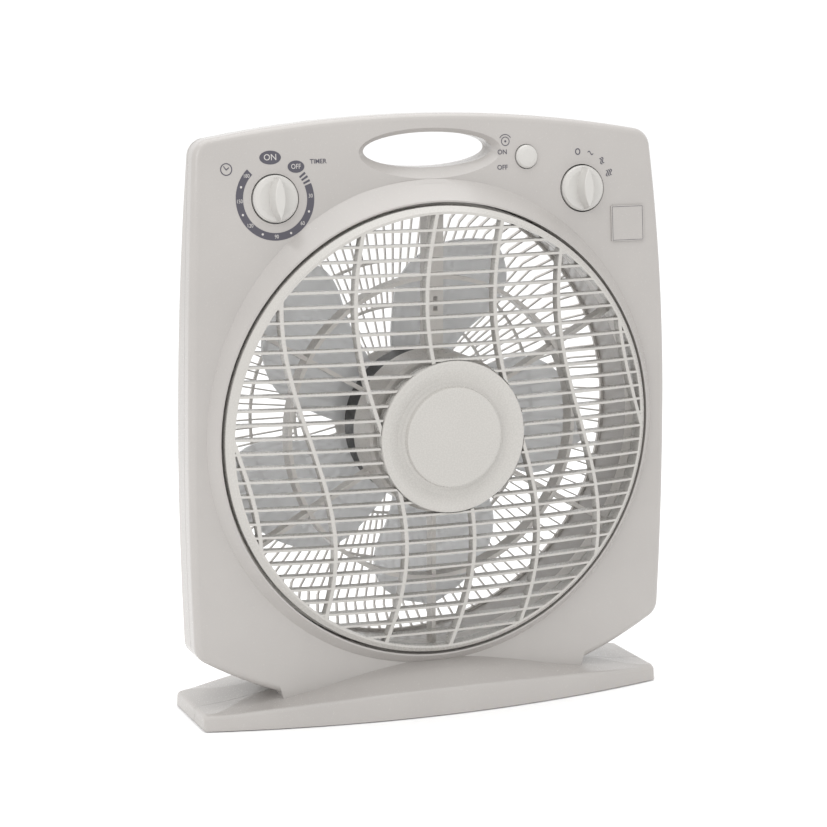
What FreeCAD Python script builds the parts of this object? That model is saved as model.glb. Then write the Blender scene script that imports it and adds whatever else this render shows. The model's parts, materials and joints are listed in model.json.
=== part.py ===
import FreeCAD, Part
import math
import os

import Sketcher

# Box fan: moulded two-shell casing on a wide foot, rotating louvre grille, five-blade
# impeller on an induction motor, timer, speed switch and louvre button.
# Frame: X to the right, the front faces -Y, Z up, origin on the floor under the middle.
# Every round piece on the fan's axis is turned about a line along Y.

Vector = FreeCAD.Vector
doc = FreeCAD.newDocument("BoxFan")
sheet = doc.addObject("Spreadsheet::Sheet", "Sizes")

DRIVING = {
    "overall_height": 427.0,
    "half_width": 183.0,
    "widest_height": 190.0,
    "corner_half_width": 172.8,
    "corner_height": 411.0,
    "corner_round": 14.0,
    "lower_half_width": 180.5,
    "lower_height": 52.5,
    "waist_half_width": 118.0,
    "waist_height": 21.5,
    "wall": 2.5,
    "face_depth": -34.5,
    "front_round": 5.0,
    "taper_start": -6.0,
    "back_depth": 33.0,
    "back_inset": 11.0,
    "back_round": 5.0,
    "seam_foot": -13.0,
    "seam_body": -21.0,
    "lean_start": 215.0,
    "lean_radius": 1484.0,
    "axis_height": 203.6,
    "opening_radius": 163.0,
    "bezel_front": -43.0,
    "bezel_radius": 177.8,
    "bezel_back": -26.0,
    "lip_back": -20.0,
    "duct_radius": 165.0,
    "duct_front": -17.2,
    "foot_half_length": 176.5,
    "foot_front": -63.0,
    "foot_back": 69.0,
    "foot_bow": 640.0,
    "foot_back_bow": 430.0,
    "foot_gap": 0.8,
    "ledge_height": 36.0,
    "foot_edge_height": 19.0,
    "foot_end_height": 12.0,
    "foot_round": 3.0,
    "grip_back": -1.0,
    "grip_floor": 381.0,
    "seam_gap": 0.35,
    "gland_radius": 5.0,
    "handle_half_width": 49.0,
    "handle_half_height": 12.5,
    "handle_height": 401.5,
    "handle_bevel": 5.0,
    "control_offset": 116.7,
    "control_height": 371.3,
    "knob_radius": 16.3,
    "knob_well_radius": 17.3,
    "knob_front": -36.5,
    "panel_depth": -27.0,
    "spindle_radius": 3.0,
    "button_offset": 73.5,
    "button_height": 395.0,
    "button_radius": 8.3,
    "button_travel": 3.0,
    "button_front": -29.5,
    "louvre_radius": 160.5,
    "louvre_front": -44.0,
    "louvre_ring_depth": 10.0,
    "louvre_dome": 645.0,
    "louvre_apex": -68.2,
    "louvre_depth": 7.5,
    "slat_pitch": 9.95,
    "slat_thickness": 1.6,
    "slat_count": 30.0,
    "louvre_rib_width": 2.7,
    "louvre_rib_step": 51.5,
    "louvre_rib_wave": 18.0,
    "louvre_rib_half_period": 172.0,
    "cap_radius": 54.2,
    "cap_disc_radius": 35.6,
    "cap_front": -69.0,
    "guard_front": -30.0,
    "guard_back": -18.0,
    "guard_ring_radius": 109.0,
    "guard_hub_radius": 57.0,
    "spoke_width": 3.0,
    "impeller_radius": 145.0,
    "impeller_hub_radius": 37.0,
    "impeller_front": -13.0,
    "blade_front": 13.0,
    "impeller_back": 44.0,
    "blade_thickness": 2.2,
    "blade_count": 5.0,
    "shaft_radius": 4.0,
    "pin_radius": 1.2,
    "pin_depth": 8.0,
    "motor_turn": 31.0,
    "motor_radius": 55.0,
    "motor_front": 21.0,
    "motor_back": 49.0,
    "guard_plate_radius": 47.0,
    "basket_depth": 50.0,
    "back_rib_width": 1.0,
}

for row, (alias, number) in enumerate(DRIVING.items(), start=1):
    sheet.set("A%d" % row, alias)
    sheet.set("B%d" % row, str(number))
    sheet.setAlias("B%d" % row, alias)
doc.recompute()


class Size:
    """A length with its number and the sheet expression that drives it."""

    def __init__(self, number, text):
        self.number = float(number)
        self.text = text

    def _with(self, other, sign, swap=False):
        if not isinstance(other, Size):
            other = Size(other, "(%r)" % float(other))
        left, right = (other, self) if swap else (self, other)
        numbers = {
            "+": left.number + right.number,
            "-": left.number - right.number,
            "*": left.number * right.number,
            "/": left.number / right.number if right.number else 0.0,
        }
        return Size(numbers[sign], "(%s %s %s)" % (left.text, sign, right.text))

    def __add__(self, other):
        return self._with(other, "+")

    def __radd__(self, other):
        return self._with(other, "+", True)

    def __sub__(self, other):
        return self._with(other, "-")

    def __rsub__(self, other):
        return self._with(other, "-", True)

    def __mul__(self, other):
        return self._with(other, "*")

    def __rmul__(self, other):
        return self._with(other, "*", True)

    def __truediv__(self, other):
        return self._with(other, "/")

    def __neg__(self):
        return 0.0 - self

    def __float__(self):
        return self.number


def size(alias):
    return Size(sheet.get(alias), "Sizes.%s" % alias)


def number(alias):
    return float(sheet.get(alias))


def as_size(value):
    return value if isinstance(value, Size) else Size(value, "(%r)" % float(value))


NODES = []


def keep(item, label):
    """Name a finished sub-part and put it on the list that is written out."""
    item.Label = label
    NODES.append(item)
    return item


# ---------------------------------------------------------------- PartDesign helpers

def new_body(label):
    return keep(doc.addObject("PartDesign::Body", label), label)


def sketch_on(body, role, name):
    plane = next(entry for entry in body.Origin.OriginFeatures if entry.Role == role)
    sketch = body.newObject("Sketcher::SketchObject", name)
    sketch.AttachmentSupport = [(plane, "")]
    sketch.MapMode = "FlatFace"
    return sketch


def pin_point(sketch, geometry, position, across, up):
    """Tie one point of the sketch to the sheet, from the sketch's origin."""
    for kind, value in (("DistanceX", across), ("DistanceY", up)):
        value = as_size(value)
        rule = Sketcher.Constraint(kind, -1, 1, geometry, position, value.number)
        index = sketch.addConstraint(rule)
        sketch.setExpression("Constraints[%d]" % index, value.text)


def outline(sketch, points):
    """Add a closed outline of straight lines through points bound to the sheet."""
    first = sketch.GeometryCount
    count = len(points)
    corners = [Vector(float(across), float(up), 0) for across, up in points]
    for index in range(count):
        line = Part.LineSegment(corners[index], corners[(index + 1) % count])
        sketch.addGeometry(line, False)
    for index in range(count):
        following = first + (index + 1) % count
        sketch.addConstraint(Sketcher.Constraint("Coincident", first + index, 2, following, 1))
    for index, (across, up) in enumerate(points):
        pin_point(sketch, first + index, 1, across, up)


def circle(sketch, radius, across=0.0, up=0.0):
    """Add a circle whose radius and centre are bound to the sheet."""
    radius = as_size(radius)
    centre = Vector(float(across), float(up), 0)
    index = sketch.addGeometry(Part.Circle(centre, Vector(0, 0, 1), radius.number), False)
    rule = sketch.addConstraint(Sketcher.Constraint("Radius", index, radius.number))
    sketch.setExpression("Constraints[%d]" % rule, radius.text)
    pin_point(sketch, index, 3, across, up)


def turned(body, points, name="Turning", cut=False):
    """Turn a profile of (radius, depth) points about the depth axis."""
    sketch = sketch_on(body, "XY_Plane", name + "Profile")
    outline(sketch, points)
    kind = "PartDesign::Groove" if cut else "PartDesign::Revolution"
    feature = body.newObject(kind, name)
    feature.Profile = sketch
    feature.ReferenceAxis = (sketch, ["V_Axis"])
    feature.Angle = 360.0
    return feature


def front_sketch(body, name, depth):
    """A sketch seen from the front, at a given depth: X across, Z up."""
    sketch = sketch_on(body, "XZ_Plane", name)
    depth = as_size(depth)
    sketch.AttachmentOffset = FreeCAD.Placement(Vector(0, 0, -depth.number), FreeCAD.Rotation())
    sketch.setExpression("AttachmentOffset.Base.z", "-(%s)" % depth.text)
    return sketch


def backward(body, sketch, length, name="Pad", cut=False):
    """Pad or pocket a front sketch towards the back, +Y."""
    length = as_size(length)
    feature = body.newObject("PartDesign::Pocket" if cut else "PartDesign::Pad", name)
    feature.Profile = sketch
    feature.Length = length.number
    feature.setExpression("Length", length.text)
    feature.Reversed = not cut
    return feature


def rounded(body, feature, edges, radius, name="Round"):
    """Fillet the named edges of a feature."""
    fillet = body.newObject("PartDesign::Fillet", name)
    fillet.Base = (feature, edges)
    radius = as_size(radius)
    fillet.Radius = radius.number
    fillet.setExpression("Radius", radius.text)
    return fillet


def repeated(body, features, count, name="Pattern"):
    """Repeat features evenly round the depth axis."""
    pattern = body.newObject("PartDesign::PolarPattern", name)
    pattern.Originals = features
    axis = next(entry for entry in body.Origin.OriginFeatures if entry.Role == "Y_Axis")
    pattern.Axis = (axis, [""])
    pattern.Angle = 360.0
    count = as_size(count)
    pattern.Occurrences = int(count.number)
    body.Tip = pattern
    return pattern


def on_fan_axis(item):
    """Move a piece made about the origin up to the fan's axis."""
    place(item, 0.0, 0.0, size("axis_height"))
    return item


def facing_back(item):
    """Turn a piece of the motor stack, drawn facing the front, to face the back on the fan's axis."""
    item.Placement = FreeCAD.Placement(Vector(0, 0, 0), FreeCAD.Rotation(Vector(0, 0, 1), 180))
    place(item, 0.0, size("motor_turn"), size("axis_height"))
    return item


def place(item, across, depth, up):
    for axis, value in (("x", across), ("y", depth), ("z", up)):
        item.setExpression("Placement.Base." + axis, as_size(value).text)
    item.Placement.Base = Vector(float(across), float(depth), float(up))


# ---------------------------------------------------------------- Part helpers

def feature_of(shape, label, across=0.0, depth=0.0, up=0.0):
    """Keep a computed shape as a sub-part, then set its place."""
    item = doc.addObject("Part::Feature", label)
    item.Shape = shape
    item.Placement = FreeCAD.Placement(Vector(across, depth, up), FreeCAD.Rotation())
    return keep(item, label)


def rod(radius, start, end, across=0.0, up=0.0):
    """A cylinder along Y between two depths."""
    return Part.makeCylinder(radius, end - start, Vector(across, start, up), Vector(0, 1, 0))


def block(low, high):
    return Part.makeBox(high[0] - low[0], high[1] - low[1], high[2] - low[2], Vector(*low))


def spun(points):
    """A solid turned about the Y axis from (radius, depth) points."""
    corners = [Vector(radius, depth, 0) for radius, depth in points]
    face = Part.Face(Part.makePolygon(corners + corners[:1]))
    return face.revolve(Vector(0, 0, 0), Vector(0, 1, 0), 360.0)


def screw(across, up, head_back, length, direction=-1.0, thread=1.6, head=3.2):
    """A pan-head screw along Y whose head's outer face is at a depth."""
    head_height = 2.0
    y_way = Vector(0, direction, 0)
    cap = Part.makeCylinder(head, head_height, Vector(across, head_back, up), y_way)
    seat = head_back + direction * head_height
    shank = Part.makeCylinder(thread, length, Vector(across, seat, up), y_way)
    slot = Part.makeBox(head * 1.3, 0.9, 0.8)
    slot.translate(Vector(across - head * 0.65, head_back - 0.45, up - 0.4))
    return cap.fuse(shank).cut(slot).removeSplitter()


def arc_through(first, middle, last):
    return Part.Arc(first, middle, last).toShape()


# ---------------------------------------------------------------- casing: outer forms

def casing_outline(depth, inset):
    """The casing's front outline at one depth, drawn in by an inset."""
    crown = number("overall_height") - inset
    corner = number("corner_half_width") - inset
    corner_up = number("corner_height") - inset
    widest = number("half_width") - inset
    widest_up = number("widest_height")
    lower = number("lower_half_width") - inset
    lower_up = number("lower_height") + inset * 0.6
    waist = number("waist_half_width") - inset * 0.5
    waist_up = number("waist_height") + inset * 0.8
    belly = Vector(0.5 * (lower + waist) + 1.0, depth, 0.5 * (lower_up + waist_up) - 1.5)
    base_up = 8.0

    def left(point):
        return Vector(-point.x, point.y, point.z)

    top_right = Vector(corner, depth, corner_up)
    side_right = Vector(widest, depth, widest_up)
    low_right = Vector(lower, depth, lower_up)
    waist_right = Vector(waist, depth, waist_up)
    base_right = Vector(waist - 4.0, depth, base_up)
    edges = [
        arc_through(left(top_right), Vector(0, depth, crown), top_right),
        arc_through(top_right, side_right, low_right),
        arc_through(low_right, belly, waist_right),
        Part.makeLine(waist_right, base_right),
        Part.makeLine(base_right, left(base_right)),
        Part.makeLine(left(base_right), left(waist_right)),
        arc_through(left(waist_right), left(belly), left(low_right)),
        arc_through(left(low_right), left(side_right), left(top_right)),
    ]
    return Part.Wire(edges)


def depth_edges(solid, above):
    """The corner edges that run from front to back, above a height."""
    found = []
    for edge in solid.Edges:
        box = edge.BoundBox
        runs_back = box.YLength > 10.0 and box.XLength < 20.0 and box.ZLength < 20.0
        if runs_back and edge.CenterOfMass.z > above:
            found.append(edge)
    return found


def lean(up):
    """How far the casing's front has leant back at a height."""
    rise = max(up - number("lean_start"), 0.0)
    radius = number("lean_radius")
    return radius - math.sqrt(radius * radius - rise * rise)


def side_region(front_points, base, far):
    """A slab across the whole width between a leaning side-view line and a far depth."""
    start = number("lean_start")
    top = 450.0
    middle = 0.5 * (start + top)
    corners = [Vector(0, depth, up) for depth, up in front_points]
    corners.append(Vector(0, base, start))
    edges = [Part.makeLine(corners[index], corners[index + 1]) for index in range(len(corners) - 1)]
    tip = Vector(0, base + lean(top), top)
    edges.append(arc_through(corners[-1], Vector(0, base + lean(middle), middle), tip))
    high = Vector(0, far, top)
    low = Vector(0, far, corners[0].z)
    edges.append(Part.makeLine(tip, high))
    edges.append(Part.makeLine(high, low))
    edges.append(Part.makeLine(low, corners[0]))
    face = Part.Face(Part.Wire(edges))
    face.translate(Vector(-250, 0, 0))
    return face.extrude(Vector(500, 0, 0))


def behind_face(inset):
    """Everything behind the casing's front face, which leans back at the top."""
    front = number("face_depth") + inset
    return side_region([(front, -20.0)], front, 120.0)


def ahead_of_seam(shift=0.0):
    """Everything in front of the line where the two casing shells meet."""
    foot = number("seam_foot") + shift
    body = number("seam_body") + shift
    return side_region([(foot, -20.0), (foot, 24.0), (body, 46.0)], body, -90.0)


def upper_shell(inset):
    """The casing's body without its foot, solid, drawn in by an inset."""
    front = -48.0
    taper = number("taper_start")
    back = number("back_depth") - inset
    draw_in = number("back_inset")
    radius = max(number("corner_round") - inset, 2.0)
    prism = Part.Face(casing_outline(front, inset)).extrude(Vector(0, taper - front, 0))
    tail = Part.makeLoft([casing_outline(taper, inset), casing_outline(back, inset + draw_in)], True, True)
    prism = prism.makeFillet(radius, depth_edges(prism, 40.0))
    tail = tail.makeFillet(radius, depth_edges(tail, 40.0))
    back_edges = []
    for edge in tail.Edges:
        box = edge.BoundBox
        if box.YMin > back - 0.5 and box.ZMax > 60.0:
            back_edges.append(edge)
    tail = tail.makeFillet(max(number("back_round") - inset, 2.0), back_edges)
    prism = prism.common(behind_face(inset))
    rim = []
    for edge in prism.Edges:
        box = edge.BoundBox
        across_face = box.XLength > 300.0 and box.ZLength < 0.1
        if box.YMax < number("seam_body") + 8.0 and box.ZMax > 30.0 and not across_face:
            rim.append(edge)
    prism = prism.makeFillet(max(number("front_round") - inset, 1.0), rim)
    return prism.fuse(tail)


def foot_section(share, inset):
    """One upright section of the foot, at a share of its half length."""
    reach = number("foot_half_length") - inset
    across = reach * share
    bow = across * across / (2.0 * number("foot_bow"))
    front = number("foot_front") + bow + inset
    back = number("foot_back") - across * across / (2.0 * number("foot_back_bow")) - inset
    edge_up = number("foot_edge_height") - 9.0 * share * share - inset
    spread = 1.0 - share * share
    end_up = number("foot_end_height")
    ledge_up = end_up + (number("ledge_height") - end_up) * spread * spread - inset
    waist = number("waist_half_width") / number("foot_half_length")
    seam = number("seam_foot")
    if abs(share) < waist:
        ledge = seam - 20.0 * (1.0 - (share / waist) ** 2)
    else:
        ledge = seam - 19.0 * (abs(share) - waist) / (1.0 - waist)
    ledge = ledge + inset
    back_ledge = back - ledge + front
    floor = number("foot_gap") if inset == 0.0 else -5.0
    corners = [
        (front, floor), (front + 1.5, edge_up), (ledge, ledge_up),
        (back_ledge, ledge_up), (back - 1.5, edge_up), (back, floor),
    ]
    return Part.makePolygon([Vector(across, depth, up) for depth, up in corners + corners[:1]])


def foot_form(inset):
    """The whole foot, solid, with rounded ends and a softened front edge."""
    shares = [-1.0, -0.85, -0.68, -0.5, -0.25, 0.0, 0.25, 0.5, 0.68, 0.85, 1.0]
    form = Part.makeLoft([foot_section(share, inset) for share in shares], True, False)
    if inset > 0.0:
        return form
    soft = [edge for edge in form.Edges if edge.BoundBox.ZMax > 2.0]
    return form.makeFillet(number("foot_round"), soft)


# ---------------------------------------------------------------- casing shells

def oval(half_width, half_height, depth, up):
    """An upright ellipse wire facing the front."""
    curve = Part.Ellipse(Vector(0, 0, 0), half_width, half_height)
    wire = Part.Wire([curve.toShape()])
    wire.rotate(Vector(0, 0, 0), Vector(1, 0, 0), 90.0)
    wire.translate(Vector(0, depth, up))
    return wire


def handle_plug(grow):
    """The handle's opening as a solid: a flared mouth, then a straight tunnel."""
    half_width = number("handle_half_width") + grow
    half_height = number("handle_half_height") + grow
    bevel = number("handle_bevel")
    up = number("handle_height")
    face = number("face_depth") + lean(up)
    flare = 2.4
    mouth = oval(half_width + bevel * flare, half_height + bevel * flare, face - bevel * 1.4, up)
    throat = oval(half_width, half_height, face + bevel, up)
    flared = Part.makeLoft([mouth, throat], True, True)
    tunnel = Part.Face(throat).extrude(Vector(0, 40.0, 0))
    return flared.fuse(tunnel)


def grip_recess(grow):
    """The hollow behind the handle where the fingers go."""
    low = (-72.0 - grow, number("grip_back") - grow, number("grip_floor") - grow)
    high = (72.0 + grow, 80.0, 460.0)
    solid = block(low, high)
    corner = []
    for edge in solid.Edges:
        box = edge.BoundBox
        if box.YLength > 50.0 and box.ZMax < 400.0:
            corner.append(edge)
    return solid.makeFillet(12.0 + grow, corner)


def guard_post_places(count, radius, turn):
    """Points (across, up) evenly round the fan's axis, clockwise from the top."""
    places = []
    for index in range(count):
        angle = math.radians(turn + index * 360.0 / count)
        up = number("axis_height") + radius * math.cos(angle)
        places.append((radius * math.sin(angle), up))
    return places


def control_place(across, up):
    """Where a control's axis meets the leaning panel, square to it."""
    slope = math.degrees(math.asin((up - number("lean_start")) / number("lean_radius")))
    base = Vector(across, number("face_depth") + lean(up), up)
    return FreeCAD.Placement(base, FreeCAD.Rotation(Vector(1, 0, 0), -slope))


def placed(shape, placement):
    copy = shape.copy()
    copy.Placement = placement.multiply(copy.Placement)
    return copy


def control_wells():
    """The three round holes through the control panel."""
    knob_up = number("control_height")
    offset = number("control_offset")
    knob_well = rod(number("knob_well_radius"), -12.0, 12.0)
    button_well = rod(number("button_radius") + 0.6, -12.0, 12.0)
    button_at = control_place(number("button_offset"), number("button_height"))
    return [
        placed(knob_well, control_place(-offset, knob_up)),
        placed(knob_well, control_place(offset, knob_up)),
        placed(button_well, button_at),
    ]


def bezel():
    """The conical ring round the front opening, with the lip behind it."""
    inner = number("opening_radius")
    front = number("bezel_front")
    lip = inner + number("wall")
    outer = number("bezel_radius")
    ring = spun([
        (inner, front), (inner + 1.2, front), (outer, number("bezel_back")),
        (outer, number("bezel_back") + 3.0), (lip, front + 4.5), (lip, number("lip_back")),
        (inner, number("lip_back")),
    ])
    ring.translate(Vector(0, 0, number("axis_height")))
    return ring


def foot_pads(side):
    """Two upright posts inside the foot that carry the rubber feet, one shell's pair."""
    depth = PAD_FRONT if side < 0 else PAD_BACK
    pads = []
    for across in (-PAD_ACROSS, PAD_ACROSS):
        post = Part.makeCylinder(6.5, 20.0, Vector(across, depth, PAD_TOP))
        pads.append(post.common(case_solid))
    return pads


SCREW_SEAT = 12.0
GUARD_SCREW_CIRCLE = 168.2
GLAND_PLACE = (128.0, 66.0)
PAD_ACROSS = 150.0
PAD_FRONT = -27.0
PAD_BACK = 32.0
PAD_TOP = 2.5
axis_up = number("axis_height")
wall = number("wall")
case_solid = upper_shell(0.0).fuse(foot_form(0.0))
case_hollow = upper_shell(wall).fuse(foot_form(wall))
seam_side = ahead_of_seam()
opening = rod(number("opening_radius"), -90.0, number("lip_back") + 0.01, 0.0, axis_up)
clear_back = rod(number("opening_radius") + wall, number("lip_back"), 0.0, 0.0, axis_up)

front_shell = case_solid.common(seam_side).cut(case_hollow)
front_shell = front_shell.fuse(bezel())
handle_wall = handle_plug(wall).common(case_solid).common(seam_side)
front_shell = front_shell.fuse(handle_wall)
case_posts = [(-150.0, 384.0), (150.0, 384.0), (-160.0, 86.0), (160.0, 86.0)]
posts = []
for across, up in case_posts:
    posts.append(rod(4.0, number("face_depth") + lean(up) + 1.0, number("seam_body") + lean(up), across, up))
guard_posts = guard_post_places(6, 169.5, 0.0)
for across, up in guard_posts:
    posts.append(rod(3.6, number("face_depth") + lean(up) + 1.0, number("lip_back"), across, up))
front_shell = front_shell.multiFuse(posts + foot_pads(-1.0))
front_shell = front_shell.cut(opening).cut(handle_plug(0.0)).cut(clear_back)
for well in control_wells():
    front_shell = front_shell.cut(well)
for across, up in case_posts + guard_posts:
    front_shell = front_shell.cut(rod(1.55, -32.0 + lean(up), 0.0, across, up))
feature_of(front_shell, "front_casing")

gap = number("seam_gap")
rear_side = ahead_of_seam(gap)
rear_shell = case_solid.cut(rear_side).cut(case_hollow)
recess_wall = grip_recess(wall).common(case_solid).cut(grip_recess(0.0)).cut(rear_side)
rear_shell = rear_shell.cut(grip_recess(0.0)).fuse(recess_wall)
tunnel_wall = handle_plug(wall).common(case_solid).cut(rear_side).cut(grip_recess(0.0))
rear_shell = rear_shell.fuse(tunnel_wall)
duct_inner = number("duct_radius")
duct = spun([
    (duct_inner, number("duct_front")), (duct_inner + 1.4, number("duct_front")),
    (duct_inner + 1.4, number("duct_front") + 2.7), (duct_inner + 2.4, number("duct_front") + 2.7),
    (duct_inner + 2.4, number("back_depth")), (duct_inner, number("back_depth")),
])
duct.translate(Vector(0, 0, axis_up))
rear_shell = rear_shell.fuse(duct)
rear_posts = []
for across, up in case_posts:
    rear_posts.append(rod(5.2, number("seam_body") + lean(up) + gap, 31.5, across, up))
rear_shell = rear_shell.multiFuse(rear_posts + foot_pads(1.0))
for across, up in case_posts:
    rear_shell = rear_shell.cut(rod(1.8, -30.0, 60.0, across, up))
    rear_shell = rear_shell.cut(rod(3.8, SCREW_SEAT, 60.0, across, up))
for across, up in guard_post_places(6, GUARD_SCREW_CIRCLE, 0.0):
    rear_shell = rear_shell.cut(rod(1.55, 23.0, 43.0, across, up))
rear_shell = rear_shell.cut(rod(number("gland_radius"), 23.0, 43.0, *GLAND_PLACE))
rear_shell = rear_shell.cut(handle_plug(0.0))
rear_shell = rear_shell.cut(rod(duct_inner, number("duct_front") - 1.0, 43.0, 0.0, axis_up))
rear_shell = rear_shell.cut(rod(duct_inner + 6.3, number("back_depth"), 80.0, 0.0, axis_up))
feature_of(rear_shell, "rear_casing")


# ---------------------------------------------------------------- guards

guard_hub = size("guard_hub_radius")
guard_front = size("guard_front")
guard_back = size("guard_back")
hub_front = -52.0
inner_guard = new_body("inner_guard")
turned(inner_guard, [
    (4.5, hub_front), (guard_hub - 2, hub_front), (guard_hub, hub_front + 2), (guard_hub, guard_back),
    (guard_hub - 2.5, guard_back), (guard_hub - 2.5, hub_front + 2.5), (4.5, hub_front + 2.5),
], "Hub")
ring_radius = size("guard_ring_radius")
turned(inner_guard, [
    (ring_radius - 1.5, guard_front - 1), (ring_radius + 1.5, guard_front - 1),
    (ring_radius + 1.5, guard_back), (ring_radius - 1.5, guard_back),
], "MiddleRing")
lip_inner = size("opening_radius")
lip_end = size("lip_back")
flange_back = lip_end + 2.5
turned(inner_guard, [
    (lip_inner - 4.5, guard_front), (lip_inner - 0.6, guard_front), (lip_inner - 0.6, lip_end),
    (lip_inner + 10, lip_end), (lip_inner + 10, flange_back), (lip_inner - 4.5, flange_back),
], "OuterRing")
half_spoke = size("spoke_width") / 2
spoke_sketch = front_sketch(inner_guard, "SpokeProfile", guard_front)
outline(spoke_sketch, [
    (-half_spoke, guard_hub - 1), (half_spoke, guard_hub - 1),
    (half_spoke, lip_inner - 3), (-half_spoke, lip_inner - 3),
])
spoke = backward(inner_guard, spoke_sketch, guard_back - guard_front - 2, "Spoke")
repeated(inner_guard, [spoke], 6, "Spokes")
channel_sketch = front_sketch(inner_guard, "ChannelProfile", guard_front - 2)
outline(channel_sketch, [
    (-6.0, guard_hub - 1), (6.0, guard_hub - 1), (6.0, lip_inner - 6), (-6.0, lip_inner - 6),
])
backward(inner_guard, channel_sketch, guard_back - guard_front + 2, "Channel")
slot_sketch = front_sketch(inner_guard, "ChannelSlotProfile", guard_front + 1)
outline(slot_sketch, [
    (-4.0, guard_hub + 6), (4.0, guard_hub + 6), (4.0, lip_inner - 12), (-4.0, lip_inner - 12),
])
backward(inner_guard, slot_sketch, 20.0, "ChannelSlot", cut=True)
window_sketch = front_sketch(inner_guard, "WindowProfile", guard_front - 3)
for window_up in (ring_radius - 24, ring_radius - 17):
    outline(window_sketch, [
        (-1.6, window_up), (1.6, window_up), (1.6, window_up + 3.2), (-1.6, window_up + 3.2),
    ])
backward(inner_guard, window_sketch, 6.0, "CableWindows", cut=True)
hole_sketch = front_sketch(inner_guard, "ScrewHoleProfile", guard_front)
circle(hole_sketch, 1.75, 0.0, 169.5)
screw_hole = backward(inner_guard, hole_sketch, 20.0, "ScrewHole", cut=True)
repeated(inner_guard, [screw_hole], 6, "ScrewHoles")
on_fan_axis(inner_guard)

motor_cover = new_body("louvre_motor_cover")
cover_front = guard_back - 2.4
turned(motor_cover, [
    (0.0, cover_front), (guard_hub - 2.9, cover_front), (guard_hub - 2.9, guard_back), (0.0, guard_back),
], "Cover")
cover_holes = front_sketch(motor_cover, "MotorHoleProfile", cover_front - 1)
circle(cover_holes, 1.8, 0.0, 28.0)
cover_hole = backward(motor_cover, cover_holes, 5.0, "MotorHole", cut=True)
repeated(motor_cover, [cover_hole], 4, "MotorHoles")
on_fan_axis(motor_cover)

back_plate = size("back_depth")
basket = size("basket_depth")
plate_radius = size("guard_plate_radius")
back_edge = size("duct_radius")
rear_guard = new_body("rear_guard")
turned(rear_guard, [
    (0.0, basket), (plate_radius, basket), (plate_radius, basket + 2), (plate_radius - 3, basket + 3),
    (0.0, basket + 3),
], "CentrePlate")
turned(rear_guard, [
    (back_edge - 1.8, back_plate), (back_edge + 6, back_plate), (back_edge + 6, back_plate + 1.2),
    (back_edge + 5.6, back_plate + 1.6), (back_edge + 0.6, back_plate + 1.6), (back_edge - 0.2, back_plate + 3),
    (back_edge - 1.8, back_plate + 3),
], "Rim")
for index, ring in enumerate((78.0, 112.0)):
    turned(rear_guard, [
        (ring - 1, basket - 0.5), (ring + 1, basket - 0.5), (ring + 1, basket + 2), (ring - 1, basket + 2),
    ], "Ring%d" % index)
short_rib = [(basket, 46.0), (basket + 2.5, 46.0), (basket + 2.5, 78.5), (basket, 78.5)]
long_rib = [
    (basket, 77.5), (basket + 2.5, 77.5), (basket + 2.5, back_edge - 15.5), (back_plate + 2.4, back_edge),
    (back_plate + 0.2, back_edge - 1.7), (basket, back_edge - 17.0),
]
for index, (profile, count) in enumerate(((short_rib, 60), (long_rib, 120))):
    rib_sketch = sketch_on(rear_guard, "YZ_Plane", "RibProfile%d" % index)
    outline(rib_sketch, profile)
    rib = rear_guard.newObject("PartDesign::Pad", "Rib%d" % index)
    rib.Profile = rib_sketch
    rib.setExpression("Length", "Sizes.back_rib_width")
    rib.Midplane = True
    repeated(rear_guard, [rib], count, "Ribs%d" % index)
rim_holes = front_sketch(rear_guard, "RimHoleProfile", back_plate - 2)
circle(rim_holes, 1.75, 0.0, GUARD_SCREW_CIRCLE)
rim_hole = backward(rear_guard, rim_holes, 10.0, "RimHole", cut=True)
repeated(rear_guard, [rim_hole], 6, "RimHoles")
on_fan_axis(rear_guard)


# ---------------------------------------------------------------- rotating louvre

def round_face(radius):
    """A disc facing the front, centred on the fan's axis."""
    return Part.Face(Part.Wire([Part.makeCircle(radius, Vector(0, 0, 0), Vector(0, 1, 0))]))


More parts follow.
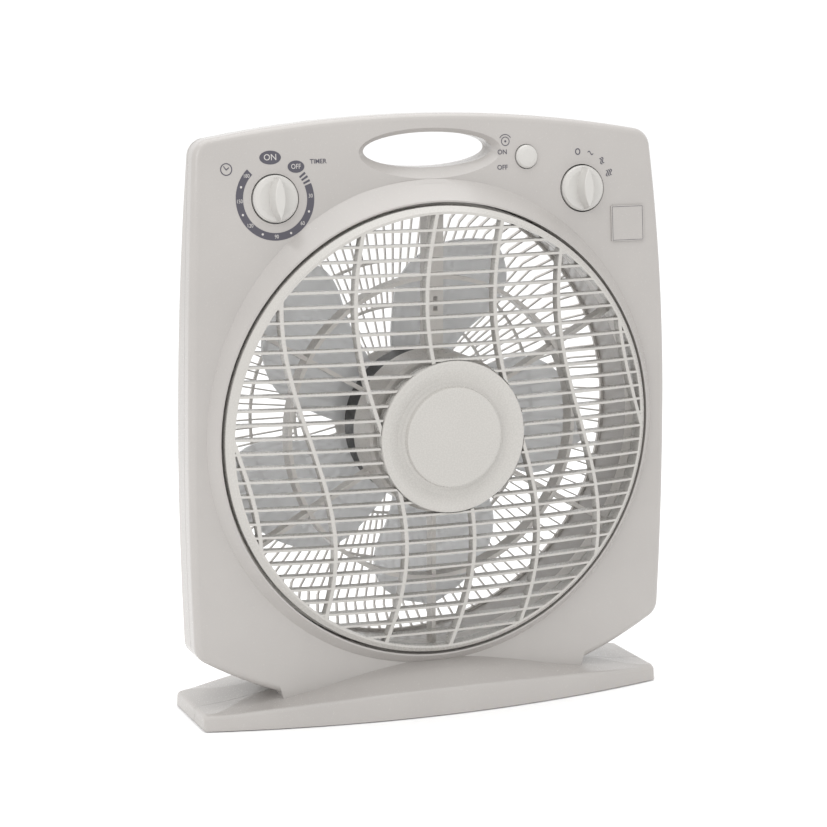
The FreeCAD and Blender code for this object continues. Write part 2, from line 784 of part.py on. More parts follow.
def louvre_grille_shape():
    """A domed grille: level slats, S-shaped uprights, a rim and a hub plate."""
    radius = number("louvre_radius")
    dome = number("louvre_dome")
    apex = number("louvre_apex")
    depth = number("louvre_depth")
    inside = radius - 5.4
    pitch = number("slat_pitch")
    half_slat = 0.5 * number("slat_thickness")
    count = int(number("slat_count"))
    strips = []
    for index in range(count):
        up = (index - 0.5 * (count - 1)) * pitch
        corners = [
            Vector(-radius, 0, up - half_slat), Vector(radius, 0, up - half_slat),
            Vector(radius, 0, up + half_slat), Vector(-radius, 0, up + half_slat),
        ]
        strips.append(Part.Face(Part.makePolygon(corners + corners[:1])))
    half_rib = 0.5 * number("louvre_rib_width")
    wave = number("louvre_rib_wave")
    period = number("louvre_rib_half_period")
    steps = 16
    for place_index in range(-3, 4):
        centre = place_index * number("louvre_rib_step")
        sides = []
        for side in (-half_rib, half_rib):
            points = []
            for step in range(steps + 1):
                up = -radius + 2.0 * radius * step / steps
                across = centre - wave * math.sin(math.pi * up / period)
                points.append(Vector(across + side, 0, up))
            curve = Part.BSplineCurve()
            curve.interpolate(points)
            sides.append((curve.toShape(), points))
        (left_edge, left_points), (right_edge, right_points) = sides
        strips.append(Part.Face(Part.Wire([
            left_edge, Part.makeLine(left_points[-1], right_points[-1]), right_edge,
            Part.makeLine(right_points[0], left_points[0]),
        ])))
    rim_face = round_face(radius).cut(round_face(inside))
    hub_edge = number("cap_radius") + 0.4
    plan = rim_face.multiFuse(strips + [round_face(hub_edge)]).common(round_face(radius))
    plan = plan.cut(round_face(3.4)).removeSplitter()
    walls = plan.extrude(Vector(0, 80.0, 0))
    walls.translate(Vector(0, -90.0, 0))
    front = number("louvre_front")
    back = front + number("louvre_ring_depth")
    seat = inside + 0.9
    lip = seat + 0.8

    def dome_depth(ball, distance):
        """Depth of a ball's surface at this distance from the axis."""
        return apex + dome - math.sqrt(ball * ball - distance * distance)

    face_arc = Part.Arc(*[
        Vector(distance, dome_depth(dome, distance), 0) for distance in (hub_edge + 0.1, 110.0, seat)
    ])
    back_arc = Part.Arc(*[
        Vector(distance, dome_depth(dome - depth, distance), 0) for distance in (seat, 110.0, hub_edge + 0.1)
    ])
    outside = [
        face_arc.EndPoint, Vector(lip, front - 5.0, 0), Vector(radius - 0.8, front - 1.2, 0),
        Vector(radius + 0.6, front + 0.6, 0), Vector(radius + 0.6, back, 0), Vector(lip, back, 0),
        back_arc.StartPoint,
    ]
    inner = [
        back_arc.EndPoint, Vector(50.0, -57.3, 0), Vector(1.0, -57.3, 0), Vector(1.0, -60.3, 0),
        Vector(hub_edge + 0.1, -60.3, 0), face_arc.StartPoint,
    ]
    edges = [face_arc.toShape()] + Part.makePolygon(outside).Edges
    edges += [back_arc.toShape()] + Part.makePolygon(inner).Edges
    envelope = Part.Face(Part.Wire(edges)).revolve(Vector(0, 0, 0), Vector(0, 1, 0), 360.0)
    boss = spun([(3.4, -57.8), (8.0, -57.8), (8.0, -53.0), (3.4, -53.0)])
    return walls.common(envelope).fuse(boss)


feature_of(louvre_grille_shape(), "louvre_grille", 0.0, 0.0, axis_up)

cap = size("cap_radius")
disc = size("cap_disc_radius")
nose = size("cap_front")
louvre_cap = new_body("louvre_cap")
turned(louvre_cap, [
    (0.0, nose), (disc - 1.4, nose), (disc - 0.3, nose + 0.5), (disc, nose + 1.4), (disc + 0.6, nose + 3.6),
    (disc + 2.6, nose + 4.6), (disc + 6, nose + 4.2), (disc + 11, nose + 2.2), (disc + 13, nose + 1.6),
    (cap - 1.6, nose + 1.6), (cap - 0.4, nose + 2.2), (cap, nose + 3.2), (cap, -60.6), (cap - 2, -60.6),
    (cap - 2, nose + 4.4), (disc + 12, nose + 4.6), (disc + 5, nose + 6.8), (disc + 1, nose + 7),
    (disc - 2.4, nose + 4), (disc - 3.2, nose + 2.2), (0.0, nose + 2.2),
], "Cap")
on_fan_axis(louvre_cap)

louvre_motor = new_body("louvre_motor")
turned(louvre_motor, [
    (3.45, -49.4), (24, -49.4), (25, -48.4), (25, -35), (24, -34), (0.0, -34), (0.0, -37), (3.45, -37),
], "Can")
on_fan_axis(louvre_motor)
louvre_shaft = new_body("louvre_shaft")
turned(louvre_shaft, [
    (0.0, -60.3), (3.4, -60.3), (3.4, -37.2), (0.0, -37.2),
], "Shaft")
on_fan_axis(louvre_shaft)
louvre_screw = new_body("louvre_screw")
turned(louvre_screw, [
    (0.0, -62.4), (5.2, -62.4), (6.0, -61.8), (6.0, -60.3), (0.0, -60.3),
], "Head")
on_fan_axis(louvre_screw)


# ---------------------------------------------------------------- impeller

def between(stops, radius):
    """The value at a radius on a line through stops of radius and value."""
    for (low, start), (high, end) in zip(stops, stops[1:]):
        if radius <= high:
            return start + (end - start) * (radius - low) / (high - low)
    return stops[-1][1]


def blade_edges(radius):
    """The blade's two edges at a radius: angles from the top, clockwise, in degrees."""
    left_stops = [(30.0, -21.0), (50.0, -18.2), (60.0, -14.8), (75.0, -11.4), (90.0, -8.4), (105.0, -4.0),
                  (120.0, 3.7), (130.0, 11.6), (140.0, 22.4), (145.0, 29.0)]
    right_stops = [(30.0, 39.0), (50.0, 41.0), (75.0, 41.9), (90.0, 44.1), (105.0, 45.7), (120.0, 45.0),
                   (130.0, 42.6), (140.0, 37.9), (145.0, 34.0)]
    return between(left_stops, radius), between(right_stops, radius)


def blade_point(radius, part, shift):
    """A point on the blade: part runs along the chord, shift through the thickness."""
    left, right = blade_edges(radius)
    share = (radius - 30.0) / 115.0
    angle = math.radians(left + (right - left) * part)
    front = number("blade_front") + 6.5 * max(radius - 55.0, 0.0) / 90.0
    back = number("impeller_back") - 12.5 * max(100.0 - radius, 0.0) / 63.0 - number("blade_thickness")
    sag = 4.0 * part * (1.0 - part) * (3.0 - 1.5 * share)
    depth = front + (back - front) * part + sag + shift * number("blade_thickness")
    return Vector(radius * math.sin(angle), depth, radius * math.cos(angle))


def blade_shape(radii):
    """One blade closed from a front sheet, a back sheet and the strips between their edges."""
    sheets = []
    steps = 6
    for shift in (0.0, 1.0):
        grid = [[blade_point(radius, step / steps, shift) for step in range(steps + 1)] for radius in radii]
        surface = Part.BSplineSurface()
        surface.interpolate(grid)
        sheets.append(surface.toShape())
    strips = []
    for front_edge, back_edge in zip(sheets[0].Edges, sheets[1].Edges):
        strips.append(Part.makeRuledSurface(front_edge, back_edge))
    shell = Part.Shell(Part.makeCompound(sheets + strips).Faces)
    shell.sewShape()
    return Part.Solid(shell)


def impeller_pin_shape():
    """The cross pin that locks the impeller's boss to the shaft."""
    start = Vector(-8.8, number("pin_depth"), 0)
    return Part.makeCylinder(number("pin_radius"), 17.6, start, Vector(1, 0, 0))


def impeller_shape():
    """Five broad blades on a hollow hub with a bored boss."""
    hub = number("impeller_hub_radius")
    front = number("impeller_front")
    bore = number("shaft_radius")
    body = spun([
        (bore, front + 7.0), (13.0, front + 7.0), (13.0, front), (hub - 4.0, front), (hub, front + 3.5),
        (hub, 17.0), (hub - 2.2, 17.0), (hub - 2.2, front + 4.4), (hub - 4.8, front + 2.2),
        (15.2, front + 2.2), (15.2, front + 9.2), (9.0, front + 9.2), (9.0, 14.0), (bore, 14.0),
    ])
    radii = [hub - 1.8, 54.0, 77.0, 91.0, 106.0, 118.0, 128.0, 137.0, number("impeller_radius") - 0.3]
    blade = blade_shape(radii)
    blades = []
    count = int(number("blade_count"))
    for index in range(count):
        turned_blade = blade.copy()
        turned_blade.rotate(Vector(0, 0, 0), Vector(0, 1, 0), index * 360.0 / count)
        blades.append(turned_blade)
    body = body.cut(impeller_pin_shape())
    body.rotate(Vector(0, 0, 0), Vector(0, 0, 1), 180.0)
    body.translate(Vector(0, number("motor_turn"), 0))
    return body.multiFuse(blades).removeSplitter()


feature_of(impeller_shape(), "fan_impeller", 0.0, 0.0, axis_up)

shaft = size("shaft_radius")
wheel_front = size("impeller_front")
impeller_nut = new_body("impeller_nut")
turned(impeller_nut, [
    (shaft - 0.8, wheel_front + 0.5), (9.0, wheel_front + 0.5), (11.0, wheel_front + 2),
    (11.5, wheel_front + 6.9), (shaft - 0.8, wheel_front + 6.9),
], "Nut")
facing_back(impeller_nut)
motor_shaft = new_body("motor_shaft")
turned(motor_shaft, [
    (0.0, wheel_front), (shaft - 0.8, wheel_front), (shaft - 0.8, wheel_front + 7), (shaft, wheel_front + 7),
    (shaft, 48.4), (0.0, 48.4),
], "Shaft")
pin_sketch = sketch_on(motor_shaft, "YZ_Plane", "PinHoleProfile")
circle(pin_sketch, size("pin_radius"), size("pin_depth"), 0.0)
pin_hole = motor_shaft.newObject("PartDesign::Pocket", "PinHole")
pin_hole.Profile = pin_sketch
pin_hole.Type = "ThroughAll"
pin_hole.Midplane = True
facing_back(motor_shaft)
facing_back(feature_of(impeller_pin_shape(), "impeller_pin"))


# ---------------------------------------------------------------- fan motor

motor = size("motor_radius")
motor_front = size("motor_front")
motor_back = size("motor_back")
front_shield = new_body("motor_front_shield")
turned(front_shield, [
    (8.0, motor_front - 1), (10.5, motor_front - 1), (10.5, motor_front + 0.5), (motor - 4, motor_front + 0.5),
    (motor, motor_front + 4), (motor, 34.5), (motor - 2, 34.5), (motor - 2, motor_front + 5),
    (motor - 5, motor_front + 2.5), (10.5, motor_front + 2.5), (10.5, motor_front + 6), (8.0, motor_front + 6),
], "Shield")
facing_back(front_shield)
rear_shield = new_body("motor_rear_shield")
turned(rear_shield, [
    (8.0, motor_back - 6), (10.5, motor_back - 6), (10.5, motor_back - 2.4), (motor - 5, motor_back - 2.4),
    (motor - 2, motor_back - 5), (motor - 2, 34.6), (motor, 34.6), (motor, motor_back - 4),
    (motor - 4, motor_back - 0.1), (8.0, motor_back - 0.1),
], "Shield")
shield_holes = front_sketch(rear_shield, "MotorHoleProfile", motor_back - 4)
circle(shield_holes, 1.6, 0.0, 28.0)
shield_hole = backward(rear_shield, shield_holes, 10.0, "MotorHole", cut=True)
repeated(rear_shield, [shield_hole], 4, "MotorHoles")
facing_back(rear_shield)
for label, start, end in (("front_bearing", motor_front - 0.5, motor_front + 5.5),
                          ("rear_bearing", motor_back - 6, motor_back - 0.3)):
    bearing = new_body(label)
    turned(bearing, [
        (shaft + 0.05, start), (8.0, start), (8.0, end), (shaft + 0.05, end),
    ], "Bush")
    facing_back(bearing)
rotor_core = new_body("rotor_core")
turned(rotor_core, [(shaft, 27.2), (22.0, 27.2), (22.0, 40.0), (shaft, 40.0)], "Core")
facing_back(rotor_core)
stator_core = new_body("stator_core")
turned(stator_core, [(22.6, 28.4), (motor - 2, 28.4), (motor - 2, 39.6), (22.6, 39.6)], "Core")
facing_back(stator_core)
coil_rings = []
for start, end in ((25.6, 28.4), (39.6, 43.0)):
    coil_rings.append(spun([
        (25.0, start + 0.8), (26.0, start), (33.0, start), (34.0, start + 0.8), (34.0, end), (25.0, end),
    ]))
facing_back(feature_of(Part.makeCompound(coil_rings), "stator_windings"))


# ---------------------------------------------------------------- controls

def knob_shape():
    """A round knob with a lens-shaped grip across it, its seat at the panel."""
    radius = number("knob_radius")
    bore = number("spindle_radius")
    disc_solid = spun([
        (0.0, -3.4), (12.5, -3.4), (15.2, -2.6), (radius, -1.2), (radius, 3.0), (radius - 1.8, 3.0),
        (radius - 1.8, 0.0), (6.5, 0.0), (6.5, 4.2), (bore, 4.2), (bore, -1.4), (0.0, -1.4),
    ])
    lenses = []
    for half_width, half_height, depth in ((5.4, 15.4, -3.0), (3.6, 14.2, -12.5)):
        tip = Vector(0, depth, half_height)
        foot = Vector(0, depth, -half_height)
        lenses.append(Part.Wire([
            arc_through(foot, Vector(half_width, depth, 0), tip),
            arc_through(tip, Vector(-half_width, depth, 0), foot),
        ]))
    grip = Part.makeLoft(lenses, True, True)
    ridge = [edge for edge in grip.Edges if edge.BoundBox.YMax < -12.0]
    grip = grip.makeFillet(1.1, ridge)
    return disc_solid.fuse(grip)


def spindle_shape(length):
    return Part.makeCylinder(number("spindle_radius"), length, Vector(0, -1.4, 0), Vector(0, 1, 0))


def housing_shape(width, height, depth, bore):
    """A control's housing behind the panel, bored for its spindle."""
    body = block((-width / 2, 5.0, -height / 2), (width / 2, 5.0 + depth, height / 2))
    along = [edge for edge in body.Edges if edge.BoundBox.YLength > 5.0]
    body = body.makeFillet(2.0, along)
    neck = rod(6.0, 4.4, 5.2)
    return body.fuse(neck).cut(rod(bore, 4.0, 5.0 + depth - 2.0))


def control(shape, label, across, up):
    spot = control_place(across, up)
    item = doc.addObject("Part::Feature", label)
    item.Shape = shape
    item.Placement = spot
    return keep(item, label)


knob_up = number("control_height")
offset = number("control_offset")
spindle_bore = number("spindle_radius") + 0.05
for label, side, housing in (("timer", -1.0, (40.0, 35.0, 26.0)), ("speed", 1.0, (34.0, 34.0, 20.0))):
    control(knob_shape(), label + "_knob", side * offset, knob_up)
    control(spindle_shape(housing[2]), label + "_spindle", side * offset, knob_up)
    control(housing_shape(*housing, spindle_bore), label + "_switch", side * offset, knob_up)

button_at = (number("button_offset"), number("button_height"))
button = number("button_radius")
button_solid = spun([
    (0.0, -3.4), (5.0, -3.2), (7.2, -2.4), (button, -1.2), (button, 3.4), (button + 1.8, 3.4),
    (button + 1.8, 4.6), (3.0, 4.6), (3.0, 8.0), (0.0, 8.0),
])
control(button_solid, "louvre_button", *button_at)
control(rod(2.2, 8.0, 13.0), "button_plunger", *button_at)
switch_solid = block((-7.0, 11.4, -7.0), (7.0, 18.0, 7.0)).cut(rod(2.3, 11.0, 16.6))
control(switch_solid, "louvre_switch", *button_at)

badge = block((-13.0, -1.0, -13.0), (13.0, -0.03, 13.0))
badge_edges = [edge for edge in badge.Edges if edge.BoundBox.YLength > 0.9]
control(badge.makeFillet(1.0, badge_edges), "name_badge", 152.0, 345.0)


# ---------------------------------------------------------------- electrical pieces and fixings

capacitor = doc.addObject("Part::Box", "run_capacitor")
capacitor.Length = 38.0
capacitor.Width = 15.0
capacitor.Height = 26.0
place(capacitor, 98.0, back_plate - size("wall") - 15.1, 346.0)
keep(capacitor, "run_capacitor")
strap = block((96.8, 14.2, 355.0), (137.2, 30.4, 363.0)).cut(block((98.0, 15.4, 350.0), (136.0, 43.0, 370.0)))
ears = block((89.0, 29.2, 355.0), (98.0, 30.4, 363.0)).fuse(block((136.0, 29.2, 355.0), (145.0, 30.4, 363.0)))
feature_of(strap.fuse(ears).removeSplitter(), "capacitor_clip")
terminal = block((-134.0, 18.4, 347.0), (-102.0, 30.4, 358.0))
for index in range(4):
    terminal = terminal.cut(rod(2.0, 13.0, 25.0, -130.0 + 8.0 * index, 352.5))
feature_of(terminal, "terminal_block")

gland = number("gland_radius")
gland_solid = spun([
    (3.6, 27.5), (gland + 1.0, 27.5), (gland + 1.0, 30.3), (gland - 0.2, 30.3), (gland - 0.2, 33.1),
    (gland + 2.2, 33.1), (gland + 1.2, 36.0), (3.6, 38.0),
])
feature_of(gland_solid, "cord_gland", GLAND_PLACE[0], 0.0, GLAND_PLACE[1])

feet = []
for across in (-PAD_ACROSS, PAD_ACROSS):
    for depth in (PAD_FRONT, PAD_BACK):
        feet.append(Part.makeCylinder(7.0, PAD_TOP, Vector(across, depth, 0.0)))
feature_of(Part.makeCompound(feet), "rubber_feet")

casing_screws = []
for across, up in case_posts:
    length = SCREW_SEAT - number("seam_body") - lean(up) + 9.0
    casing_screws.append(screw(across, up, SCREW_SEAT + 2.0, length, -1.0, 1.5, 3.4))
feature_of(Part.makeCompound(casing_screws), "casing_screws")
guard_screws = []
for across, up in guard_post_places(6, 169.5, 0.0):
    guard_screws.append(screw(across, up, -15.5, 5.8, -1.0, 1.5, 3.0))
feature_of(Part.makeCompound(guard_screws), "inner_guard_screws")
rim_screws = []
for across, up in guard_post_places(6, GUARD_SCREW_CIRCLE, 0.0):
    rim_screws.append(screw(across, up, 36.65, 4.4, -1.0, 1.5, 2.4))
feature_of(Part.makeCompound(rim_screws), "rear_guard_screws")
motor_screws = []
for across, up in guard_post_places(4, 28.0, 0.0):
    motor_screws.append(screw(across, up, -22.45, 6.0, 1.0, 1.5, 3.0))
feature_of(Part.makeCompound(motor_screws), "motor_screws")


# ---------------------------------------------------------------- checks and files

doc.recompute()
problems = []
for item in doc.Objects:
    if "Invalid" in item.State or "Error" in item.State:
        problems.append("%s is %s" % (item.Label, item.State))
for node in NODES:
    if node.Shape.isNull() or not node.Shape.isValid() or not node.Shape.Solids:
        problems.append("%s has no valid solid" % node.Label)
if problems:
    raise RuntimeError("; ".join(problems))

os.makedirs("parts", exist_ok=True)
for node in NODES:
    node.Shape.exportStep("parts/%s.step" % node.Label)
    print("%-20s %2d solid %10.0f mm3" % (node.Label, len(node.Shape.Solids), node.Shape.Volume))
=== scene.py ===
import json
import math

import bmesh
import bpy
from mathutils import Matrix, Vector


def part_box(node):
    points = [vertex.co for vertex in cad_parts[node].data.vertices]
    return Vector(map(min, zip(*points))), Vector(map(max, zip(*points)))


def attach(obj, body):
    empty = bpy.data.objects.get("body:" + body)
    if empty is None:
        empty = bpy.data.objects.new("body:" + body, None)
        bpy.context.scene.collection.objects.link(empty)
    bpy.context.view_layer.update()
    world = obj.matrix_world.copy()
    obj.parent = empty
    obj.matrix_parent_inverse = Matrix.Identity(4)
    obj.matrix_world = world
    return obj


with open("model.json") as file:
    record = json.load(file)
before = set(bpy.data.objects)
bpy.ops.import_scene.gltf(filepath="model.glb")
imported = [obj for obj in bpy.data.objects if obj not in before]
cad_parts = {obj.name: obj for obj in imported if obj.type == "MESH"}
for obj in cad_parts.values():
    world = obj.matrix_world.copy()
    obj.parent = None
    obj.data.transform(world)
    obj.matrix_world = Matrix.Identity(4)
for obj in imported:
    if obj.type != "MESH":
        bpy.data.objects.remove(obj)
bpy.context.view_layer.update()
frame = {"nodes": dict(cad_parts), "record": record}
NODES = frame["nodes"]
scene = bpy.context.scene


# ---------------------------------------------------------------- places, from the frame

def centre_of(node):
    low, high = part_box(node)
    return (Vector(low) + Vector(high)) / 2


TIMER = centre_of("timer_knob")
SPEED = centre_of("speed_knob")
BUTTON = centre_of("louvre_button")

# The face of the casing: upright up to LEAN_START, then leaning back on a large radius.
FACE_DEPTH = -0.0345
LEAN_START = 0.215
LEAN_RADIUS = 1.484


def face_depth(up):
    """Depth of the casing's face at this height."""
    if up <= LEAN_START:
        return FACE_DEPTH
    return FACE_DEPTH + LEAN_RADIUS - math.sqrt(LEAN_RADIUS ** 2 - (up - LEAN_START) ** 2)


# ---------------------------------------------------------------- materials

def shader(name):
    """A material with an empty tree apart from its Principled shader."""
    material = bpy.data.materials.new(name)
    material.use_nodes = True
    return material, material.node_tree, material.node_tree.nodes["Principled BSDF"]


def node(tree, kind, inputs=None, **settings):
    made = tree.nodes.new(kind)
    for key, value in settings.items():
        setattr(made, key, value)
    for key, value in (inputs or {}).items():
        if isinstance(value, bpy.types.NodeSocket):
            tree.links.new(value, made.inputs[key])
        else:
            made.inputs[key].default_value = value
    return made


def noise(tree, scale, detail=2.0, roughness=0.5, stretch=None):
    """Noise in the object's own metres."""
    place = node(tree, "ShaderNodeTexCoord").outputs["Object"]
    if stretch:
        place = node(tree, "ShaderNodeMapping", {"Vector": place, "Scale": stretch}).outputs["Vector"]
    return node(tree, "ShaderNodeTexNoise", {
        "Vector": place, "Scale": scale, "Detail": detail, "Roughness": roughness,
    }).outputs["Fac"]


def spread(tree, fac, low, high, start=0.3, end=0.7):
    """The factor mapped onto a range of values."""
    return node(tree, "ShaderNodeMapRange", {
        "Value": fac, "From Min": start, "From Max": end, "To Min": low, "To Max": high,
    }).outputs["Result"]


def tinted(tree, fac, dark, light, start=0.3, end=0.7):
    ramp = node(tree, "ShaderNodeValToRGB", {"Fac": fac})
    ramp.color_ramp.elements[0].position = start
    ramp.color_ramp.elements[1].position = end
    ramp.color_ramp.elements[0].color = (*dark, 1.0)
    ramp.color_ramp.elements[1].color = (*light, 1.0)
    return ramp.outputs["Color"]


def relief(tree, principled, fac, strength, distance):
    bump = node(tree, "ShaderNodeBump", {"Height": fac, "Strength": strength, "Distance": distance})
    tree.links.new(bump.outputs["Normal"], principled.inputs["Normal"])


def scaled(colour, share):
    return tuple(part * share for part in colour)


def moulded(name, colour, rough=(0.2, 0.28), cloud=0.03, grain=0.02, specular=0.5, coat=0.0):
    """Injection-moulded plastic: faint flow clouds, a fine skin and uneven gloss."""
    material, tree, principled = shader(name)
    clouds = noise(tree, 14.0, 3.0, 0.55)
    tree.links.new(
        tinted(tree, clouds, scaled(colour, 1.0 - cloud), scaled(colour, 1.0 + cloud)),
        principled.inputs["Base Color"])
    skin = noise(tree, 900.0, 2.0, 0.6)
    tree.links.new(spread(tree, skin, rough[0], rough[1]), principled.inputs["Roughness"])
    relief(tree, principled, noise(tree, 420.0, 3.0, 0.6), grain, 0.0004)
    principled.inputs["Specular IOR Level"].default_value = specular
    principled.inputs["Coat Weight"].default_value = coat
    principled.inputs["Coat Roughness"].default_value = 0.12
    return material


def metal(name, colour, rough=(0.25, 0.4), stretch=(1.0, 60.0, 1.0), scale=90.0):
    """Turned or drawn metal: fine lines one way, uneven gloss."""
    material, tree, principled = shader(name)
    lines = noise(tree, scale, 4.0, 0.6, stretch)
    tree.links.new(
        tinted(tree, lines, scaled(colour, 0.85), scaled(colour, 1.1)), principled.inputs["Base Color"])
    tree.links.new(spread(tree, lines, rough[0], rough[1]), principled.inputs["Roughness"])
    relief(tree, principled, lines, 0.15, 0.0002)
    principled.inputs["Metallic"].default_value = 1.0
    return material


def rubber(name, colour):
    material, tree, principled = shader(name)
    grit = noise(tree, 1500.0, 2.0, 0.7)
    tree.links.new(tinted(tree, grit, scaled(colour, 0.7), scaled(colour, 1.3)),
                   principled.inputs["Base Color"])
    tree.links.new(spread(tree, grit, 0.6, 0.85), principled.inputs["Roughness"])
    relief(tree, principled, grit, 0.4, 0.0003)
    return material


def translucent_blade(name, colour):
    """Thin tinted blade plastic that lets some of what is behind it through."""
    material, tree, principled = shader(name)
    clouds = noise(tree, 22.0, 3.0, 0.5)
    tree.links.new(tinted(tree, clouds, scaled(colour, 0.95), scaled(colour, 1.05)),
                   principled.inputs["Base Color"])
    skin = noise(tree, 700.0, 2.0, 0.6)
    tree.links.new(spread(tree, skin, 0.16, 0.24), principled.inputs["Roughness"])
    relief(tree, principled, skin, 0.05, 0.0003)
    principled.inputs["Alpha"].default_value = 0.72
    return material


def windings(name):
    """Enamelled wire: close turns round the ring, brown with a varnish."""
    material, tree, principled = shader(name)
    strands = noise(tree, 700.0, 2.0, 0.5, (1.0, 0.15, 1.0))
    tree.links.new(tinted(tree, strands, (0.05, 0.018, 0.008), (0.32, 0.12, 0.045)),
                   principled.inputs["Base Color"])
    tree.links.new(spread(tree, strands, 0.25, 0.45), principled.inputs["Roughness"])
    relief(tree, principled, strands, 0.8, 0.0008)
    return material


GREIGE = (0.405, 0.385, 0.368)
WARM = (0.46, 0.445, 0.42)
MATERIALS = {
    "casing": moulded("casing_plastic", GREIGE, coat=0.15),
    "grille": moulded("grille_plastic", WARM, rough=(0.22, 0.32)),
    "guard": moulded("guard_plastic", (0.68, 0.655, 0.625), rough=(0.25, 0.36)),
    "knob": moulded("knob_plastic", (0.50, 0.487, 0.465), rough=(0.18, 0.26), coat=0.2),
    "blade": translucent_blade("blade_plastic", (0.86, 0.87, 0.88)),
    "nut": moulded("nut_plastic", (0.55, 0.56, 0.57)),
    "badge": moulded("badge_plastic", GREIGE, coat=0.15),
    "motor_shell": moulded("motor_enamel", (0.02, 0.02, 0.02), rough=(0.3, 0.5), cloud=0.2, grain=0.15),
    "steel": metal("turned_steel", (0.6, 0.6, 0.6)),
    "laminations": metal("stacked_steel", (0.3, 0.3, 0.31), (0.35, 0.5), (1.0, 900.0, 1.0), 3.0),
    "windings": windings("winding_wire"),
    "bearing": metal("sintered_bronze", (0.5, 0.34, 0.16), (0.4, 0.55), (1.0, 1.0, 1.0), 1200.0),
    "dark_plastic": moulded("dark_plastic", (0.03, 0.03, 0.032), rough=(0.4, 0.55), cloud=0.15),
    "white_plastic": moulded("white_plastic", (0.7, 0.7, 0.68), rough=(0.4, 0.5)),
    "rubber": rubber("foot_rubber", (0.03, 0.03, 0.03)),
    "screw": metal("zinc_plate", (0.55, 0.56, 0.55), (0.3, 0.45), (1.0, 1.0, 1.0), 400.0),
    "print": moulded("printed_ink", (0.072, 0.068, 0.085), rough=(0.35, 0.45)),
    "print_light": moulded("printed_light", (0.52, 0.5, 0.48), rough=(0.35, 0.45)),
}

slot_of = {entry["node"]: entry["material_slot"] for entry in frame["record"]["subparts"]}
for name, item in NODES.items():
    item.data.materials.clear()
    item.data.materials.append(MATERIALS[slot_of[name]])


# ---------------------------------------------------------------- printed markings

def add_mesh(name, vertices, faces, material, body="casing", smooth=False):
    mesh = bpy.data.meshes.new(name)
    mesh.from_pydata([tuple(v) for v in vertices], [], faces)
    mesh.materials.append(MATERIALS[material])
    for polygon in mesh.polygons:
        polygon.use_smooth = smooth
    item = bpy.data.objects.new(name, mesh)
    scene.collection.objects.link(item)
    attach(item, body)
    return item


def facing_out(item):
    """Turn every face of a closed mesh outwards."""
    mesh = bmesh.new()
    mesh.from_mesh(item.data)
    bmesh.ops.recalc_face_normals(mesh, faces=mesh.faces)
    mesh.to_mesh(item.data)
    mesh.free()
    return item


# Prints float this far off the face, and are this thick, so that they never share a plane with it.
INK = 0.00006
FILM = 0.00005


def on_face(across, up, lift=INK):
    """A point just in front of the casing's face."""
    return Vector((across, face_depth(up) - lift, up))


def printed(name, shapes, material="print", lift=INK, thick=FILM):
    """Closed thin prints from flat outlines: each is a list of points, or a pair of equal rings."""
    vertices, faces = [], []
    for outer, inner in shapes:
        first = len(vertices)
        count = len(outer)
        if inner is None:
            for height in (lift + thick, lift):
                vertices += [on_face(across, up, height) for across, up in outer]
            faces.append([first + i for i in range(count)])
            faces.append([first + count + i for i in reversed(range(count))])
            for i in range(count):
                j = (i + 1) % count
                faces.append([first + i, first + count + i, first + count + j, first + j])
        else:
            for ring in (outer, inner):
                for height in (lift + thick, lift):
                    vertices += [on_face(across, up, height) for across, up in ring]
            top_out, low_out, top_in, low_in = (first + count * k for k in range(4))
            for i in range(count):
                j = (i + 1) % count
                faces.append([top_out + i, top_in + i, top_in + j, top_out + j])
                faces.append([low_out + j, low_in + j, low_in + i, low_out + i])
                faces.append([top_out + j, low_out + j, low_out + i, top_out + i])
                faces.append([top_in + i, low_in + i, low_in + j, top_in + j])
    return facing_out(add_mesh(name, vertices, faces, material))


def ellipse(across, up, wide, tall, count=40):
    turns = [2 * math.pi * step / count for step in range(count)]
    return [(across + wide * math.cos(turn), up + tall * math.sin(turn)) for turn in turns]


def arc_band(centre, inner, outer, start, end, count=72):
    """Outline of a band on a circle; angles clockwise from the top, in degrees."""
    points = []
    for radius, steps in ((outer, range(count + 1)), (inner, reversed(range(count + 1)))):
        for step in steps:
            angle = math.radians(start + (end - start) * step / count)
            points.append((centre[0] + radius * math.sin(angle), centre[1] + radius * math.cos(angle)))
    return points


def band_quads(name, centre, inner, outer, start, end, material="print", count=72, lift=INK,
               thick=FILM):
    """A printed band of short quads, so that it follows the face."""
    vertices, faces = [], []
    for step in range(count + 1):
        angle = math.radians(start + (end - start) * step / count)
        for radius in (inner, outer):
            across = centre[0] + radius * math.sin(angle)
            up = centre[1] + radius * math.cos(angle)
            for height in (lift + thick, lift):
                vertices.append(on_face(across, up, height))
    for step in range(count):
        a, b = 4 * step, 4 * (step + 1)
        faces += [[a, a + 2, b + 2, b], [a + 1, b + 1, b + 3, a + 3], [a, b, b + 1, a + 1],
                  [a + 2, a + 3, b + 3, b + 2]]
    last = 4 * count
    faces += [[0, 1, 3, 2], [last, last + 2, last + 3, last + 1]]
    return facing_out(add_mesh(name, vertices, faces, material))


CAPITAL_SHARE = 0.7  # a capital's height as a share of the font's size


